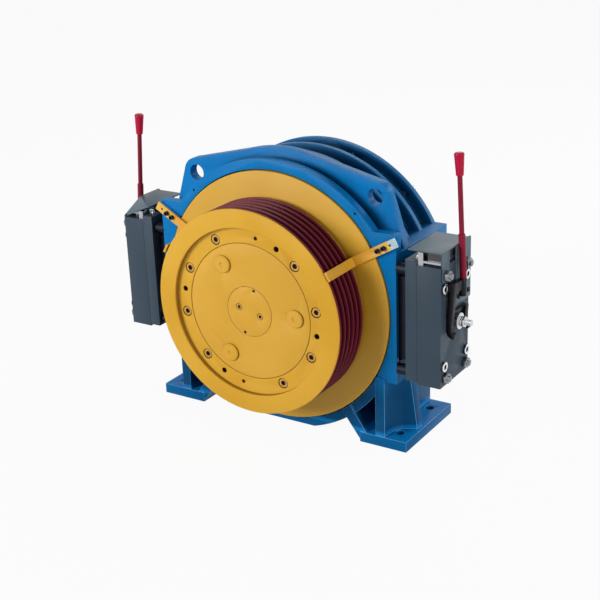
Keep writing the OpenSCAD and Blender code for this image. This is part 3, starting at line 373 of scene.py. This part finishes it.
def easeEdges(node, width, segments=2, angle=32):
    source = frame["nodes"][node]
    only(source)
    bpy.ops.object.duplicate()
    piece = bpy.context.object
    piece.name = node + "Eased"
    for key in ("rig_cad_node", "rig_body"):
        if key in piece:
            del piece[key]
    piece.parent = None
    only(piece)
    bpy.ops.object.mode_set(mode="EDIT")
    bpy.ops.mesh.select_all(action="SELECT")
    bpy.ops.mesh.remove_doubles(threshold=0.000004)
    bpy.ops.mesh.dissolve_limited(angle_limit=math.radians(0.6))
    bpy.ops.object.mode_set(mode="OBJECT")
    bevel = piece.modifiers.new("ease", "BEVEL")
    bevel.width, bevel.segments, bevel.limit_method = width, segments, "ANGLE"
    bevel.angle_limit, bevel.use_clamp_overlap = math.radians(angle), True
    if node in cast["nodes"]:
        markEdges(piece, angle)
        bevel.limit_method = "WEIGHT"
    # painted highlight: the bevels take a lighter copy of the paint
    if worn.get(node) in edges:
        piece.data.materials.append(finishes[edges[worn[node]]])
        bevel.material = 1
    bpy.ops.object.modifier_apply(modifier="ease")
    bpy.ops.object.shade_smooth_by_angle(angle=math.radians(30))
    record = frame["record"]
    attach(piece, [body for body, nodes in record["behaviour"]["bodies"].items() if node in nodes][0])
    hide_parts(node)
    [part["material_slot"] for part in record["subparts"] if part["node"] == node][0]
    return piece


# the casting's three nodes meet along flat cuts, which stay sharp and so don't show
cast = {"nodes": ["frame", "foot_left", "foot_right"], "cutX": 0.150, "cutZ": shaftHeight - 0.134}


def markEdges(piece, angle):
    mesh = piece.data
    near = 1e-5
    faces = {}
    for face in mesh.polygons:
        for pair in face.edge_keys:
            faces.setdefault(pair, []).append(face.normal)
    weights = mesh.attributes.new("bevel_weight_edge", "FLOAT", "EDGE")
    for edge in mesh.edges:
        normals = faces.get(tuple(sorted(edge.vertices)), [])
        ends = [mesh.vertices[v].co for v in edge.vertices]
        onCut = (all(abs(abs(e.x) - cast["cutX"]) < near and e.z < cast["cutZ"] + near for e in ends)
                 or all(abs(e.z - cast["cutZ"]) < near and abs(e.x) > cast["cutX"] - near for e in ends))
        sharp = len(normals) == 2 and normals[0].angle(normals[1], 0) > math.radians(angle)
        weights.data[edge.index].value = 1.0 if sharp and not onCut else 0.0


eased = {
    0.0024: cast["nodes"],
    0.0009: ["rotor", "sheave", "stator_carrier", "magnet_body_left", "magnet_body_right", "armature_left",
             "armature_right", "release_yoke_left", "release_yoke_right", "terminal_box", "encoder_cover"],
    0.0004: ["switch_cover_left", "switch_cover_right", "rope_guard_left", "rope_guard_right",
             "terminal_box_lid", "shaft_end_plate", "spring_plugs", "brake_bolts", "stud_nuts_left",
             "stud_nuts_right", "carrier_bolts", "sheave_screws", "rope_guard_screws"],
}
for width, nodes in eased.items():
    for node in nodes:
        easeEdges(node, width)
print("edges eased")

# studio
bpy.ops.object.select_all(action="DESELECT")
studio = {
    "floorSize": 30.0,
    "lamps": [   # name, place, aim, size, watts
        ("keyLamp", (-1.5, -3.0, 1.3), (0, 0, 0.25), (1.4, 1.4), 92),
        ("sideLamp", (3.0, -0.5, 0.9), (0, 0, 0.25), (1.0, 1.4), 36),
        ("rearLamp", (-0.6, 2.6, 2.2), (0, 0, 0.3), (1.4, 1.4), 16),
        ("rimLamp", (1.8, 2.7, 1.5), (0, 0, 0.4), (1.4, 1.0), 34),
    ],
    "roomLight": 0.22,
}


def addFloor():
    bpy.ops.mesh.primitive_plane_add(size=studio["floorSize"], location=(0, 0, -0.0005))
    floor = bpy.context.object
    floor.name = "floor"
    bpy.ops.object.transform_apply(location=True)
    paint = Paint("floorPaper", Roughness=0.9, Base_Color=(0.6, 0.6, 0.6, 1))
    tree, lit = paint.tree, paint.shader
    glow = tree.nodes.new("ShaderNodeEmission")
    glow.inputs[1].default_value = 1.0
    blend = tree.nodes.new("ShaderNodeMixShader")
    ray = tree.nodes.new("ShaderNodeLightPath")
    seen = Wire(paint, ray.outputs["Is Camera Ray"]).most(Wire(paint, ray.outputs["Is Glossy Ray"]))
    share = seen * 0.94
    tree.links.new(share.socket, blend.inputs[0])
    tree.links.new(lit.outputs[0], blend.inputs[1])
    tree.links.new(glow.outputs[0], blend.inputs[2])
    tree.links.new(blend.outputs[0], tree.nodes["Material Output"].inputs[0])
    floor.data.materials.append(paint.material)


def addLamps():
    for name, place, aim, (wide, high), watts in studio["lamps"]:
        bpy.ops.object.light_add(type="AREA", location=place)
        lamp = bpy.context.object
        lamp.name = name
        lamp.data.shape, lamp.data.size, lamp.data.size_y, lamp.data.energy = "RECTANGLE", wide, high, watts
        lamp.rotation_euler = (Vector(aim) - Vector(place)).to_track_quat("-Z", "Y").to_euler()
    world = bpy.data.worlds.new("room")
    bpy.context.scene.world = world
    world.use_nodes = True
    tree = world.node_tree
    sky = tree.nodes["Background"]
    ray = tree.nodes.new("ShaderNodeLightPath")
    seen = tree.nodes.new("ShaderNodeMath")
    seen.operation, seen.use_clamp = "ADD", True
    shown = tree.nodes.new("ShaderNodeMath")
    shown.operation, shown.use_clamp = "ADD", True
    level = tree.nodes.new("ShaderNodeMapRange")
    level.inputs["To Min"].default_value = studio["roomLight"]
    tree.links.new(ray.outputs["Is Camera Ray"], seen.inputs[0])
    tree.links.new(ray.outputs["Is Glossy Ray"], seen.inputs[1])
    tree.links.new(seen.outputs[0], shown.inputs[0])
    tree.links.new(ray.outputs["Is Transmission Ray"], shown.inputs[1])
    tree.links.new(shown.outputs[0], level.inputs["Value"])
    tree.links.new(level.outputs[0], sky.inputs["Strength"])
    sky.inputs["Color"].default_value = (1, 1, 1, 1)


def addCamera():
    view = {"place": (1.2808, -1.9774, 1.1344), "lens": 74.96,
            "right": (0.84575, 0.53244, -0.03481), "up": (-0.16370, 0.32101, 0.93282),
            "ahead": (-0.50785, 0.78324, -0.35865)}
    bpy.ops.object.camera_add(location=view["place"])
    camera = bpy.context.object
    camera.name = "camera"
    turn = Matrix((view["right"], view["up"], [-a for a in view["ahead"]])).transposed()
    camera.matrix_world = Matrix.Translation(view["place"]) @ turn.to_4x4()
    camera.data.lens, camera.data.sensor_width = view["lens"], 36.0
    camera.data.clip_start, camera.data.clip_end = 0.05, 200
    bpy.context.scene.camera = camera


addFloor()
addLamps()
addCamera()
bpy.context.scene.view_settings.view_transform = "Standard"
print("studio set")
